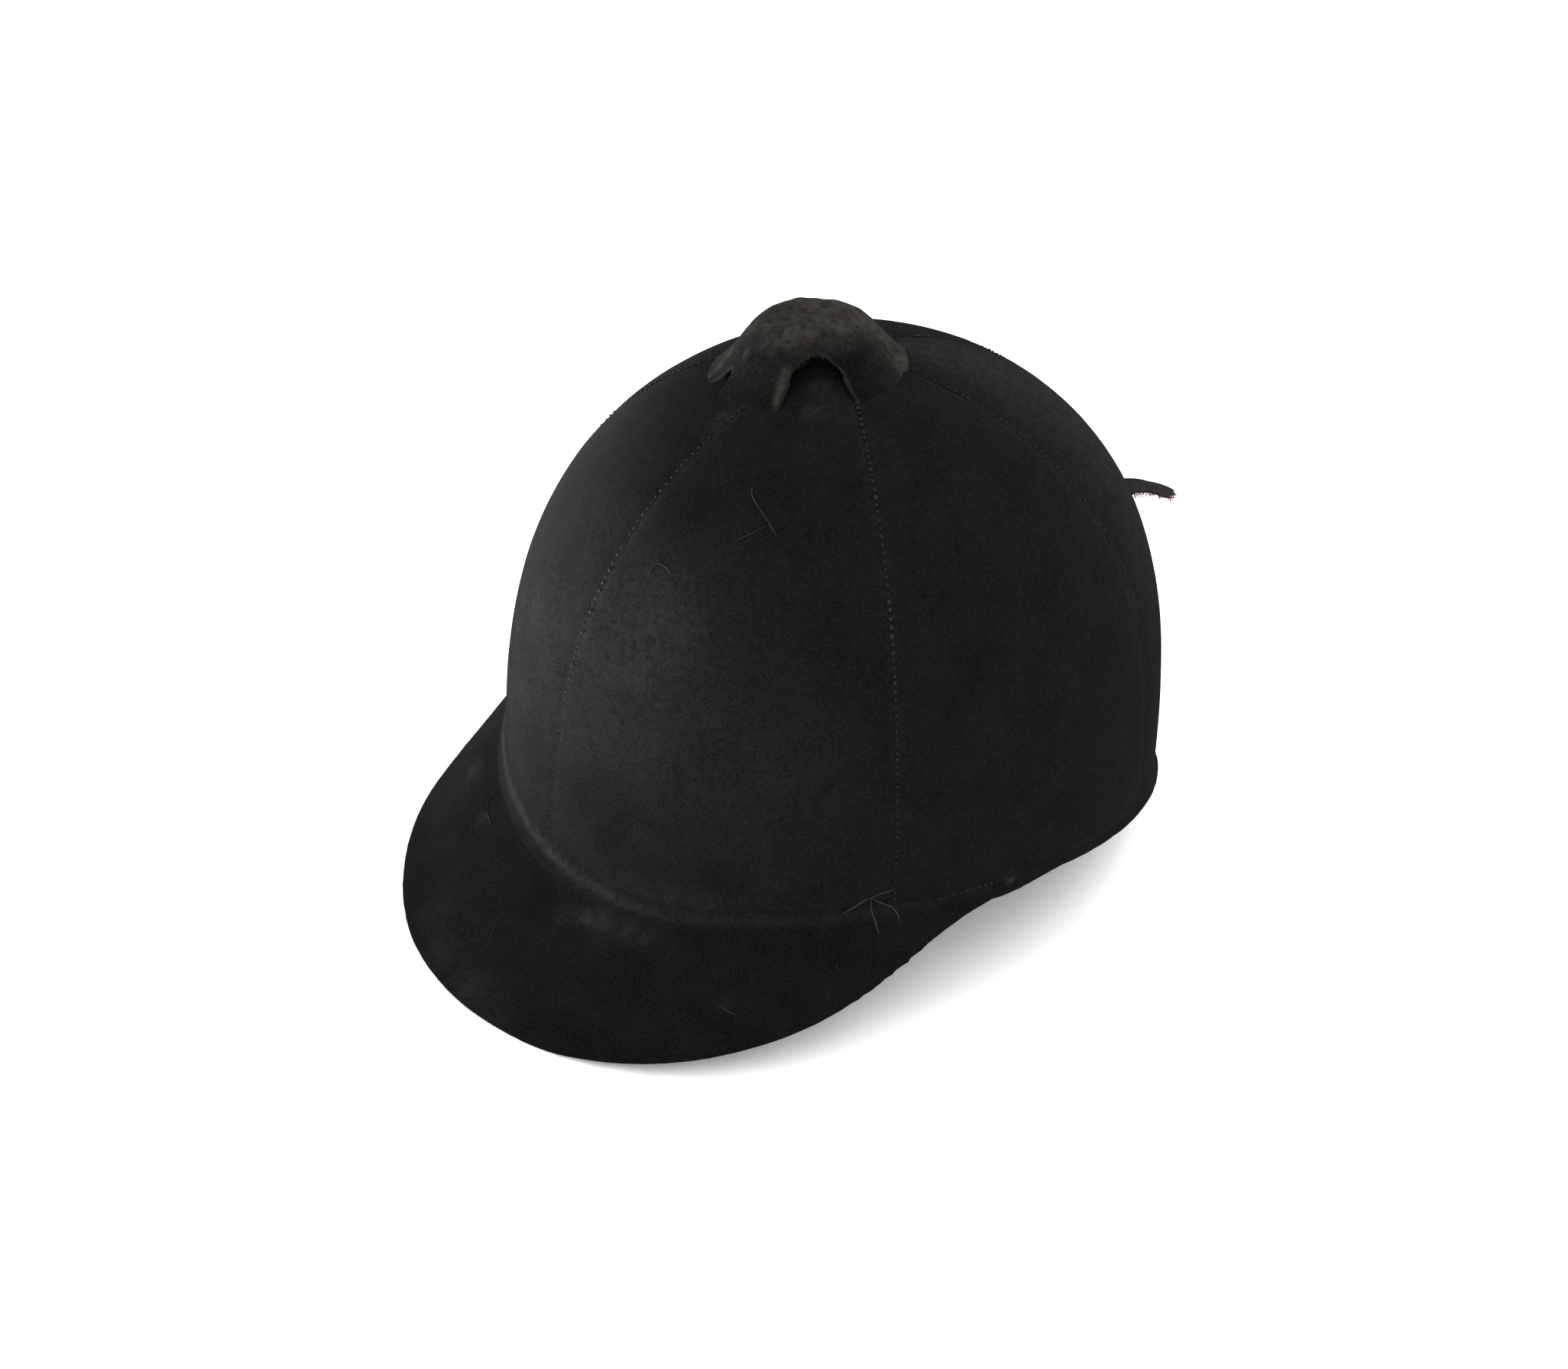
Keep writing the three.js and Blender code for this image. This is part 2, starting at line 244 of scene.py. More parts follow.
GORE_WALLS = [
    (side_wall, lambda middle, normal: normal * 0.22),
    (lambda middle, normal: normal.z < -0.7 and middle.z < 60 * MM, tuck_under),
]
PEAK_WALLS = [(
    lambda middle, normal: normal.dot(hat_outward(middle)) < -0.8,
    lambda middle, normal: normal * 0.4 + Vector((0, 0, 0.2)),
)]
GORES = [
    "crown_front_left", "crown_side_left", "crown_back_left",
    "crown_back_right", "crown_side_right", "crown_front_right",
]
gores = [smooth_copy(node, "velvet_" + node, crease=1, walls=GORE_WALLS) for node in GORES]
peak = smooth_copy("peak", "velvet_peak", crease=0.5, walls=PEAK_WALLS)
binding = smooth_copy("rim_binding", "velvet_rim_binding", crease=0.3)
print("faces after smoothing:", {p.name: len(p.data.polygons) for p in [*gores, peak, binding]})

# %% [markdown]
# ## Uneven cloth
# Velvet that has been pulled over a shell by hand is never quite even. Each point of the big pieces moves in
# or out by a tenth or two of a millimetre. The peak's free edge is rubbed through in places, so there the
# movement is a little stronger and finer, which makes small nicks in its outline.

# %% Uneven cloth
def turn_round_hat(point):
    """Angle in degrees from the front round to a point, as the crown's lines count it."""
    middle = point / MM - HAT_SHIFT
    return math.degrees(math.atan2(middle.x / HALF_WIDTH, -middle.y / FRONT_REACH))


def ruffle(piece, depth, size, pile, crown=False):
    """Uneven cloth, with the pile's height added on the side that faces out."""
    normals = [v.normal.copy() for v in piece.data.vertices]
    middle = (HAT_SHIFT + Vector((0, 0, 40))) * MM
    for vertex, normal in zip(piece.data.vertices, normals):
        wave = noise.noise(vertex.co / (size * MM)) + 0.5 * noise.noise(vertex.co / (0.3 * size * MM))
        outward = (vertex.co - middle).normalized()
        facing = ease(normal.dot(outward), 0.1, 0.5)
        if crown:
            outward = crown_place(turn_round_hat(vertex.co), min(vertex.co.z / MM, CROWN_TOP - 1))[1]
        vertex.co += normal * (wave * depth * MM) + (outward if crown else normal) * (facing * pile * MM)
    piece.data.update()


for gore in gores:
    ruffle(gore, 0.1, 18, 0.95, crown=True)
ruffle(binding, 0.16, 7, 0.5)
ruffle(peak, 0.12, 14, 0.5)

# The peak's ends are drawn in, and the binding hangs a little fuller where it starts beside them.
for vertex in peak.data.vertices:
    angle = turn_round_hat(vertex.co)
    skin, outward = crown_place(angle, max(2, vertex.co.z / MM))
    beyond = (vertex.co - skin).dot(hat_outward(vertex.co))
    if beyond > 0:
        drawn_in = 0.3 * ease(angle, 50, 72) + 0.1 * ease(-angle, 36, 52) + 0.4 * ease(-angle, 56, 76)
        vertex.co -= hat_outward(vertex.co) * (beyond * drawn_in)
for vertex in binding.data.vertices:
    near_end = math.exp(-((abs(turn_round_hat(vertex.co)) - 79) / 5) ** 2)
    vertex.co.z -= 1.8 * MM * near_end * (1 - ease(vertex.co.z / MM, 35, 39))
for vertex in peak.data.vertices:
    side = vertex.normal.copy()
    side.z = 0
    if side.length > 0.5 and vertex.co.y < (HAT_SHIFT.y - 20) * MM:
        near_side = ease(vertex.co.x / MM, 20, 60)
        vertex.co += side * (noise.noise(vertex.co / (2.2 * MM)) * (0.15 + 0.45 * near_side) * MM)
peak.data.update()
print("cloth ruffled")

# %% [markdown]
# ## The soft roll at the junction
# Where the peak's velvet turns up against the crown it makes a soft roll. Its section is a curve of three
# points: it starts inside the crown's pile, passes over the ridge between crown and peak, and ends inside the
# peak's pile. A grid is laid along the junction on that section, and Solidify closes it. It thins towards both
# ends of the peak.

# %% Junction roll
ROLL_START, ROLL_END = -82, 72


def roll_rise(angle):
    """The roll climbs a little up the crown on the right and keeps to the junction on the left."""
    return (5 - 5.2 * ease(angle, -10, 30)) * ease(angle, -84, -62)


def search_tree(piece):
    return BVHTree.FromPolygons([v.co for v in piece.data.vertices], [p.vertices for p in piece.data.polygons])


peak_tree = search_tree(peak)


def roll_place(angle, share):
    """Point of the roll, from its upper edge at share 0 to its lower edge at share 1."""
    size = ease(angle, -82, -60) * (1 - ease(angle, 50, 72))
    low = junction_height(angle) + roll_rise(angle)
    middle, outward = crown_place(angle, low, 0.3 + (1 + 0.6 * ease(angle, -8, 30)) * size)
    upper, _ = crown_place(angle, low + 1 + 3 * size, 0.1)
    nearest, normal, _, _ = peak_tree.find_nearest(crown_place(angle, junction_height(angle) - 2, 1 + 2.6 * size)[0])
    lower = nearest - normal * 0.3 * MM
    control = 2 * middle - (upper + lower) / 2
    swell = (0.35 + 0.2 * noise.noise(Vector((angle / 6, 0, 0)))) * size * math.exp(-((share - 0.5) / 0.17) ** 2)
    curve = upper * (1 - share) ** 2 + control * 2 * share * (1 - share) + lower * share ** 2
    return curve + (outward + Vector((0, 0, 0.6))) * swell * MM


bpy.ops.object.select_all(action="DESELECT")
bpy.ops.mesh.primitive_grid_add(x_subdivisions=150, y_subdivisions=14, size=2)
roll = bpy.context.object
roll.name = "velvet_junction_roll"
for vertex in roll.data.vertices:
    vertex.co = roll_place(ROLL_START + (ROLL_END - ROLL_START) * (vertex.co.x + 1) / 2, (1 - vertex.co.y) / 2)
roll.data.update()
if roll.data.polygons[0].normal.dot(hat_outward(roll.data.polygons[0].center)) < 0:
    roll.data.flip_normals()
finish_modifier(roll, "SOLIDIFY", thickness=0.8 * MM, offset=-1)
bpy.ops.object.shade_smooth()
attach(roll, "root")
print("roll faces:", len(roll.data.polygons))

# %% [markdown]
# ## The button
# The button is a velvet cap over the vent. Its skirt is cut into arches and its legs lie on the crown. One
# way is to cut the arches out of a dome, but that leaves rough faces along each cut. Here a sphere is cut in
# half for its rings and spokes, and each spoke is then shortened to where the arch begins, so that the edge
# of the cloth follows the arches exactly.

# %% Button shape
BUTTON_MIDDLE = Vector((-6, -10, 0))
BUTTON_RADIUS = 30.2
SPOKES = 240
SPOKE_TURN = 360 / SPOKES
# Distance from the button's middle, and the cap's height over the crown there
DOME = [
    (0, 14.6), (6, 14.4), (11, 13.5), (15.5, 11.8), (19, 9.6), (22, 6.9), (24.5, 4.3), (27, 2.2), (30.2, 0.7),
]
# Each arch's angle round the button, its width, and its top over the top of the crown
ARCHES = [(55, 27, 8), (-22, 9, -2), (162, 14, 1), (220, 14, 1), (278, 14, 1)]


def crown_top_at(x, y):
    reach = FRONT_REACH if y < 0 else BACK_REACH
    share = math.hypot(x / HALF_WIDTH, (y - APEX_SHIFT) / reach)
    return CROWN_TOP * (1 - share ** PROFILE_TOP) ** (1 / PROFILE_SIDE)


def dome_height(radius):
    i = max(0, min(len(DOME) - 2, sum(row[0] < radius for row in DOME) - 1))
    (start, a), (end, b) = DOME[i], DOME[i + 1]
    slopes = []
    for k in (i, i + 1):
        before, after = DOME[max(0, k - 1)], DOME[min(len(DOME) - 1, k + 1)]
        slopes.append((after[1] - before[1]) / (after[0] - before[0]) if 0 < k < len(DOME) - 1 else 0)
    t = min(1, (radius - start) / (end - start))
    bend = slopes[0] * t * (1 - t) ** 2 - slopes[1] * t * t * (1 - t)
    return a + (b - a) * t * t * (3 - 2 * t) + (end - start) * bend


def button_place(turn, radius):
    x = BUTTON_MIDDLE.x + radius * math.sin(turn)
    y = BUTTON_MIDDLE.y - radius * math.cos(turn)
    return Vector((x, y, crown_top_at(x, y) + dome_height(radius)))


def arch_half_width(width, height, level):
    """Half the arch's opening at a height over the crown's top."""
    if level >= height:
        return 0
    low, high = 0.0, 1.0
    for _ in range(24):
        t = (low + high) / 2
        z = -12 * (1 - t) ** 2 + 2 * t * (1 - t) * (height - 1) + t * t * height
        low, high = (t, high) if z < level else (low, t)
    return width / 2 * (1 - t) ** 2 + 2 * t * (1 - t) * 0.36 * width


def skirt_radius(turn):
    """Distance from the button's middle to its edge, along one spoke."""
    radius = 10.0
    while radius < BUTTON_RADIUS:
        level = button_place(turn, radius).z - CROWN_TOP
        for angle, width, height in ARCHES:
            off = turn - math.radians(angle)
            if math.cos(off) > 0 and abs(radius * math.sin(off)) < arch_half_width(width, height, level):
                return radius
        radius += 0.1
    return BUTTON_RADIUS


bpy.ops.object.select_all(action="DESELECT")
bpy.ops.mesh.primitive_uv_sphere_add(segments=SPOKES, ring_count=68, radius=1)
button = bpy.context.object
button.name = "velvet_button"
select_only(button)
bpy.ops.object.mode_set(mode="EDIT")
bpy.ops.mesh.select_all(action="SELECT")
bpy.ops.mesh.bisect(plane_co=(0, 0, 0), plane_no=(0, 0, 1), clear_inner=True)
bpy.ops.object.mode_set(mode="OBJECT")
edge_radius = {}
for vertex in button.data.vertices:
    turn = math.atan2(vertex.co.x, -vertex.co.y)
    spoke = round(math.degrees(turn) / SPOKE_TURN) % SPOKES
    if spoke not in edge_radius:
        frayed = 0.35 * noise.noise(Vector((spoke * 0.37, 0, 0))) + 0.25 * noise.noise(Vector((spoke * 1.3, 5, 0)))
        edge_radius[spoke] = skirt_radius(math.radians(spoke * SPOKE_TURN)) + frayed
    share = 1 - math.asin(min(1, max(0, vertex.co.z))) / (math.pi / 2)
    radius = share * edge_radius[spoke]
    place = button_place(turn, radius)
    lump = 0.5 * noise.noise(place / 9) + 0.25 * noise.noise(place / 3.2)
    left = math.cos(turn - math.radians(-75))
    place.z += lump * (1 - ease(radius, 20, 30)) + 1.4 * ease(left, 0.3, 1) * math.exp(-((radius - 14) / 7) ** 2)
    vertex.co = (place + HAT_SHIFT) * MM
button.data.update()
print(f"button edge from {min(edge_radius.values()):.1f} to {max(edge_radius.values()):.1f} mm out")

# %% [markdown]
# The cap gets its thickness from a Solidify modifier. Its inner side and its cut edge take the second
# material, the bare ground cloth that shows where the pile ends.

# %% Button thickness
select_only(button)
bpy.ops.object.mode_set(mode="EDIT")
bpy.ops.mesh.select_all(action="SELECT")
bpy.ops.mesh.normals_make_consistent(inside=False)
bpy.ops.object.mode_set(mode="OBJECT")
button.data.materials.append(None)
button.data.materials.append(None)
finish_modifier(button, "SOLIDIFY", thickness=1.5 * MM, offset=-1, material_offset=1, material_offset_rim=1)
bpy.ops.object.shade_smooth()
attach(button, "root")
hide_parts("top_button")
print("button faces:", len(button.data.polygons))

# %% [markdown]
# ## The torn strip
# High at the back a strip of velvet stands out from the crown, torn off short. It is one sheet of cloth, so
# it starts as a grid, its rows are bent along the strip, and its free end is narrowed and made ragged.

# %% Torn strip
# How far out, how high, and how wide on its far and near sides, from the root to the torn end
STRIP = [
    (-2.0, 1.3, 5.2, 5.3), (0.8, 1.4, 4.9, 5.0), (3.2, 1.3, 4.7, 3.8), (6, 1.0, 4.4, 3.8), (9, 0.4, 4.0, 4.6),
    (12, -0.5, 3.6, 4.6), (13.8, -0.8, 3.0, 3.6), (15.2, -1.2, 1.6, 2.2),
]
strip_root, strip_out = crown_place(150, 112)
strip_out.z = 0
strip_out.normalize()
strip_across = Vector((-strip_out.y, strip_out.x, 0))


def strip_row(share):
    at = share * (len(STRIP) - 1)
    i = min(len(STRIP) - 2, int(at))
    return [a + (b - a) * (at - i) for a, b in zip(STRIP[i], STRIP[i + 1])]


bpy.ops.object.select_all(action="DESELECT")
bpy.ops.mesh.primitive_grid_add(x_subdivisions=30, y_subdivisions=16, size=2)
strip = bpy.context.object
strip.name = "velvet_torn_strip"
for vertex in strip.data.vertices:
    along, across = (vertex.co.x + 1) / 2, vertex.co.y
    out, rise, far, near = strip_row(along)
    ragged = noise.noise(Vector((across * 4, along * 13, 3)))
    out += ragged * 0.8 * ease(along, 0.8, 1)
    width = far if across > 0 else near + 0.7 * ragged * ease(-across, 0.4, 1)
    curl = -0.5 * across ** 2 * ease(along, 0.1, 0.9) + 0.3 * noise.noise(Vector((along * 5, across, 1)))
    place = strip_root + (strip_out * out + strip_across * (across * width)) * MM
    vertex.co = place + Vector((0, 0, (rise + curl) * MM))
strip.data.materials.append(None)
strip.data.materials.append(None)
finish_modifier(strip, "SOLIDIFY", thickness=0.9 * MM, offset=-1, material_offset=1, material_offset_rim=1)
finish_modifier(strip, "SUBSURF", levels=1, render_levels=1)
bpy.ops.object.shade_smooth()
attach(strip, "root")
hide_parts("back_tab")
print("strip faces:", len(strip.data.polygons))

# %% [markdown]
# ## Where things lie on the hat
# Loose threads, lint, rubbed places and spots of painted light and shade are set where the picture shows them.
# A line is followed from the camera through a point of the picture to the first surface it meets, so each mark
# lies on the cloth that carries it, seen from any side.

# %% Find a place on the hat
trees = {piece.name: search_tree(piece) for piece in [*gores, peak, roll, binding, button]}


def on_hat(across, down):
    """Point of the hat behind a point of the picture, and the surface's normal there."""
    ray = rightward * (across - AIM_PIXEL[0]) - upward * (down - AIM_PIXEL[1]) - backward * FOCAL_PIXELS
    hits = [tree.ray_cast(eye, ray.normalized()) for tree in trees.values()]
    place, normal, _, _ = min((hit for hit in hits if hit[0] is not None), key=lambda hit: hit[3])
    return place, normal


print("hat under the middle of the picture, mm:", [round(v / MM) for v in on_hat(1090, 800)[0]])

# %% [markdown]
# ## Stitches
# Each seam shows a row of small worn stitches, one every 2.3 mm. One stitch is modelled from a small sphere,
# drawn out and flattened as thread is when it is pulled tight, and copied along the seam. Each copy is
# turned and sized a little differently, because they were sewn through thick pile.

# %% Stitches
STITCH_PITCH = 2.3

bpy.ops.object.select_all(action="DESELECT")
bpy.ops.mesh.primitive_uv_sphere_add(segments=8, ring_count=6, radius=0.5 * MM)
stitch = bpy.context.object
bpy.ops.object.mode_set(mode="EDIT")
bpy.ops.mesh.select_all(action="SELECT")
bpy.ops.transform.resize(value=(1.25, 1.0, 0.6))
bpy.ops.object.mode_set(mode="OBJECT")


def sew(name, path, size):
    """Copies the stitch along a path of (point, outward normal) and joins the copies."""
    rows, walked, due = [], 0.0, 0.0
    for (a, up_a), (b, _) in zip(path, path[1:]):
        walked += (b - a).length
        if walked >= due:
            rows.append((a, up_a, (b - a).normalized()))
            due += STITCH_PITCH * MM * chance.uniform(0.85, 1.15)
    select_only(stitch)
    made = []
    for place, up, along in rows:
        across = up.cross(along).normalized()
        turn = Matrix((along, across, up)).transposed().to_4x4()
        turn @= Matrix.Rotation(math.radians(chance.uniform(-14, 14)), 4, "Z")
        big = size(place) * chance.uniform(0.6, 1.2)
        copy = bpy.data.objects.new(name, stitch.data.copy())
        copy.data.transform(Matrix.Translation(place) @ turn @ Matrix.Diagonal((big, big, big, 1)))
        bpy.context.scene.collection.objects.link(copy)
        made.append(copy)
    bpy.ops.object.select_all(action="DESELECT")
    for copy in made:
        copy.select_set(True)
    bpy.context.view_layer.objects.active = made[0]
    bpy.ops.object.join()
    row = bpy.context.object
    row.name = name
    bpy.ops.object.shade_smooth()
    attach(row, "root")
    return row, len(rows)


SEAM_SHOWS = {"front": 0.75, "left_front": 1.12, "left_back": 0.72}


def seam_size(seam):
    """Rule for a seam's stitches: they sink into the pile low down and stand out near the top."""
    shows = SEAM_SHOWS.get(seam, 0.85)
    return lambda place: shows * (0.68 + 0.42 * ease(place.z, 0.07, 0.13))


stitch_rows = []
for seam in SEAMS:
    path = [seam_place(seam, i / 600, 0.5) for i in range(585)]
    row, count = sew("stitches_" + seam, path, seam_size(seam))
    stitch_rows.append(row)
    print(seam, "seam:", count, "stitches")
hem_angles = [60 + i * 0.1 for i in range(190)]
hem_path = [crown_place(angle, junction_height(angle) + 0.3, 1.0) for angle in hem_angles]
row, count = sew("stitches_left_junction", hem_path, lambda place: 0.75)
stitch_rows.append(row)
bpy.data.objects.remove(stitch)

# %% [markdown]
# ## Loose threads and lint
# Pale fibres cling to the pile, and threads have worked loose where the left front seam ends. Each one is a
# short curve with a round section that thins to its ends, laid a little above the cloth and turned into a
# mesh. They are grouped in one piece for each kind.

# %% Threads
THREAD_LIFT = 0.2  # how far a thread's middle lies over the cloth
LINE_STEPS = 8


def smooth_line(points):
    """Points of the picture with more in between, on a smooth curve through them."""
    line = []
    for i in range(len(points) - 1):
        a, b, c, d = (Vector(points[min(len(points) - 1, max(0, k))]) for k in range(i - 1, i + 3))
        for step in range(LINE_STEPS):
            t = step / LINE_STEPS
            square, cube = 2 * a - 5 * b + 4 * c - d, 3 * b - a - 3 * c + d
            line.append(0.5 * (2 * b + (c - a) * t + square * t ** 2 + cube * t ** 3))
    return [*line, Vector(points[-1])]


def thread_line(points, thickness):
    """A thin round thread through points of the picture, lying on the hat."""
    points = smooth_line(points)
    curve = bpy.data.curves.new("thread", "CURVE")
    curve.dimensions = "3D"
    curve.bevel_depth = thickness / 2 * MM
    curve.bevel_resolution = 1
    curve.resolution_u = 2
    spline = curve.splines.new("NURBS")
    spline.points.add(len(points) - 1)
    for i, (target, (across, down)) in enumerate(zip(spline.points, points)):
        place, normal = on_hat(across, down)
        target.co = (*(place + normal * THREAD_LIFT * MM), 1)
        target.radius = 1 - 0.6 * abs(2 * i / (len(points) - 1) - 1) ** 3
    spline.order_u = 3
    spline.use_endpoint_u = True
    made = bpy.data.objects.new("thread", curve)
    bpy.context.scene.collection.objects.link(made)
    return made


def gather(name, threads):
    bpy.ops.object.select_all(action="DESELECT")
    for thread in threads:
        thread.select_set(True)
    bpy.context.view_layer.objects.active = threads[0]
    bpy.ops.object.convert(target="MESH")
    bpy.ops.object.join()
    piece = bpy.context.object
    piece.name = name
    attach(piece, "root")
    return piece


LOOSE_THREADS = [
    [(1140, 1175), (1130, 1179), (1117, 1188), (1101, 1197)],
    [(1140, 1175), (1140, 1190), (1145, 1205), (1150, 1223)],
    [(1140, 1175), (1154, 1182), (1168, 1188), (1175, 1198), (1176, 1206)],
    [(1138, 1176), (1148, 1171), (1160, 1167), (1172, 1163)],
]
LINT = [
    [(985, 637), (984, 646), (987, 655), (998, 672), (1008, 688), (1017, 703)],
    [(1000, 690), (985, 698), (963, 708)],
    [(850, 752), (855, 742), (862, 738), (871, 742), (877, 750)],
    [(640, 1047), (637, 1060), (642, 1078)],
    [(936, 1312), (950, 1322), (966, 1330)],
    [(1094, 1261), (1098, 1272)],
    [(648, 1213), (641, 1228)],
]
loose_threads = gather("loose_threads", [thread_line(points, 0.42) for points in LOOSE_THREADS])
lint = gather("lint", [thread_line(points, 0.24) for points in LINT])
print("threads:", len(LOOSE_THREADS), "lint fibres:", len(LINT))

# %% [markdown]
# ## Frayed edges
# Where the strip is torn and along the button's arches, warp threads stick out of the cut edge. They are
# short, thin and slightly bent, and no two are alike.

# %% Frayed edges
def fray(name, roots, length, thickness, droop):
    """Short bent threads from (root, direction) pairs."""
    threads = []
    for root, direction in roots:
        curve = bpy.data.curves.new("fray", "CURVE")
        curve.dimensions = "3D"
        curve.bevel_depth = thickness / 2 * MM
        curve.bevel_resolution = 0
        curve.resolution_u = 3
        spline = curve.splines.new("NURBS")
        spline.points.add(2)
        reach = length * chance.uniform(0.4, 1.0) * MM
        bend = Vector((chance.uniform(-1, 1), chance.uniform(-1, 1), chance.uniform(-1, 1))) * 0.35
        for i, target in enumerate(spline.points):
            share = i / 2
            place = root + direction * reach * share + (bend + Vector((0, 0, -droop))) * reach * share ** 2
            target.co = (*place, 1)
            target.radius = 1 - 0.7 * share
        spline.order_u = 3
        spline.use_endpoint_u = True
        made = bpy.data.objects.new("fray", curve)
        bpy.context.scene.collection.objects.link(made)
        threads.append(made)
    return gather(name, threads)


arch_roots = []
for step in range(3 * SPOKES):
    turn = math.radians(step / 2)
    spoke = round(step / 3) % SPOKES
    radius = edge_radius[spoke]
    if radius < BUTTON_RADIUS - 0.6 and chance.random() < 0.7:
        root = button_place(turn, radius - 0.3)
        tip = button_place(turn, radius + 0.6)
        direction = (tip - root).normalized()
        arch_roots.append(((root + HAT_SHIFT - Vector((0, 0, chance.uniform(0.1, 0.8)))) * MM, direction))
arch_fray = fray("frayed_button_edge", arch_roots, 1.3, 0.16, 0.3)
strip_roots = []
for _ in range(64):
    out, rise, far, near = strip_row(chance.uniform(0.12, 0.98))
    root = strip_root + (strip_out * out - strip_across * (near * 0.94)) * MM
    way = (strip_out * chance.uniform(-0.2, 0.7) - strip_across - Vector((0, 0, 0.5))).normalized()
    strip_roots.append((root + Vector((0, 0, (rise - chance.uniform(0.6, 1.3)) * MM)), way))
for _ in range(24):
    out, rise, far, near = strip_row(chance.uniform(0.9, 1))
    root = strip_root + (strip_out * out + strip_across * chance.uniform(-near, far)) * MM
    strip_roots.append((root + Vector((0, 0, (rise - 0.6) * MM)), (strip_out - Vector((0, 0, 0.3))).normalized()))
strip_fray = fray("frayed_strip_edge", strip_roots, 1.7, 0.32, 0.2)
print("frayed threads:", len(arch_roots), "on the button,", len(strip_roots), "on the strip")

# %% [markdown]
# ## Wear and painted light
# Old velvet is paler where its pile is rubbed or crushed: along the ridge at the junction, on the button's
# edges, and in a few patches. The same number also carries painted light and shade on the crown, the peak and
# the roll. Each piece gets a number at every point, from 0 for full pile to 1 for bare cloth, and the materials
# read that number, so the wear and the painted light are part of the piece.

# %% Paint the wear and the painted light
def paint(piece, rule):
    layer = piece.data.attributes.new("wear_and_painted_light", "FLOAT", "POINT")
    values = [min(1.0, max(0.0, rule(v.co))) for v in piece.data.vertices]
    layer.data.foreach_set("value", values)
    print(f"{piece.name}: most worn point {max(values):.2f}")


def soft_patches(spots):
    """Rule that adds a soft patch round each (across, down, radius in mm, strength)."""
    middles = [(on_hat(across, down)[0], radius * MM, strength) for across, down, radius, strength in spots]
    return lambda co: sum(s * math.exp(-((co - m).length / r) ** 2) for m, r, s in middles)


# Rubbed spots along the junction and on the nap under the button's arch, with painted light in the hollow under the
# button, where shade falls.
crown_rubs_and_painted_light = soft_patches([
    (1060, 541, 2.5, 0.2), (1080, 528, 6, 0.12), (845, 1166, 4, 0.1), (880, 1174, 4, 0.14), (920, 1183, 4, 0.12),
    (955, 1188, 4, 0.06), (1074, 468, 5, 0.8), (1074, 498, 5, 0.25), (1098, 480, 3, 0.3), (1050, 480, 3, 0.3),
    (952, 545, 3, 0.18), (935, 560, 4, 0.1), (1323, 1152, 1.5, 0.4),
])
# Painted light: paler spots on the lit flank and at the outline; painted shade: darker spots, mostly low on its
# right.
painted_light_spots = soft_patches([
    (850, 790, 16, 0.08), (830, 880, 14, 0.04), (1060, 1000, 18, 0.04), (880, 840, 10, 0.04), (705, 810, 10, 0.05),
    (1500, 1010, 6, 0.05), (1480, 1050, 5, 0.07),
])
painted_shade_spots = soft_patches([
    (700, 1000, 12, 0.05), (760, 1050, 14, 0.05), (820, 1100, 14, 0.06), (900, 1150, 13, 0.05), (740, 1110, 8, 0.03),
    (900, 665, 14, 0.05),
])
peak_spots = soft_patches([
    (768, 1201, 3, 0.3), (790, 1208, 4, 0.25), (820, 1219, 4, 0.2), (845, 1228, 3, 0.12), (740, 1198, 4, 0.15),
    (632, 1072, 3, 0.16), (618, 1010, 4, 0.12), (945, 1318, 2, 0.12), (575, 1250, 8, 0.16), (610, 1300, 7, 0.22),
    (650, 1335, 7, 0.12), (560, 1200, 9, 0.08),
])

ROLL_SPAN = 84  # degrees to either side of the front within which the junction line follows the roll
junction_line = kdtree.KDTree(720)
for step in range(720):
    angle = (step / 2 + 180) % 360 - 180
    rise = roll_rise(angle) if abs(angle) < ROLL_SPAN else 0
    junction_line.insert(crown_place(step / 2, junction_height(step / 2) + rise, 1.5)[0], step)
junction_line.balance()


# Paler along the ridge: worn pile, and painted light that lifts the shade where the roll meets the crown and the
# peak.
def ridge_wear_and_painted_light(co):
    _, step, distance = junction_line.find(co)
    angle = step / 2 if step <= 360 else step / 2 - 360
    strength = 0.08 + 0.14 * ease(angle, -80, -40) * (1 - ease(angle, -5, 50))
    return strength * math.exp(-(distance / (2.0 * MM)) ** 2)


def crown_tone_and_painted_light(co):
    """Even paler tone, painted light in spots and as a glow high on the back left towards its outline, less painted
    shade.
    """
    # painted highlight: a glow high on the back left that is paler towards the outline
    painted_outline_glow = 0.2 * math.exp(-((turn_round_hat(co) - 152) / 26) ** 2) * ease(co.z, 0.07, 0.11)
    # painted light in spots is added here, and painted shade in spots is taken away
    return max(0, 0.06 + painted_light_spots(co) + painted_outline_glow - painted_shade_spots(co))


SEAM_STEPS = 240
seam_line = kdtree.KDTree(len(SEAMS) * SEAM_STEPS)
for number, seam in enumerate(SEAMS):
    for step in range(SEAM_STEPS):
        seam_line.insert(seam_place(seam, step / SEAM_STEPS)[0], number * SEAM_STEPS + step)
seam_line.balance()


def gore_wear_and_painted_light(co):
    """Tone with painted light and shade, rubs, painted light under the button, and a seam rub growing to the top."""
    along_seam = math.exp(-(seam_line.find(co)[2] / (1.6 * MM)) ** 2)
    return crown_tone_and_painted_light(co) + crown_rubs_and_painted_light(co) + 0.07 * ease(co.z, 0.03, 0.13) * along_seam


for gore in gores:
    paint(gore, gore_wear_and_painted_light)
paint(peak, lambda co: peak_spots(co) + ridge_wear_and_painted_light(co))
paint(roll, ridge_wear_and_painted_light)


def binding_wear(co):
    _, step, distance = junction_line.find(co)
    angle = min(step / 2, 360 - step / 2)
    return 0.25 * ease(angle, 80, 100) * math.exp(-(distance / (1.3 * MM)) ** 2) + crown_rubs_and_painted_light(co)


paint(binding, binding_wear)


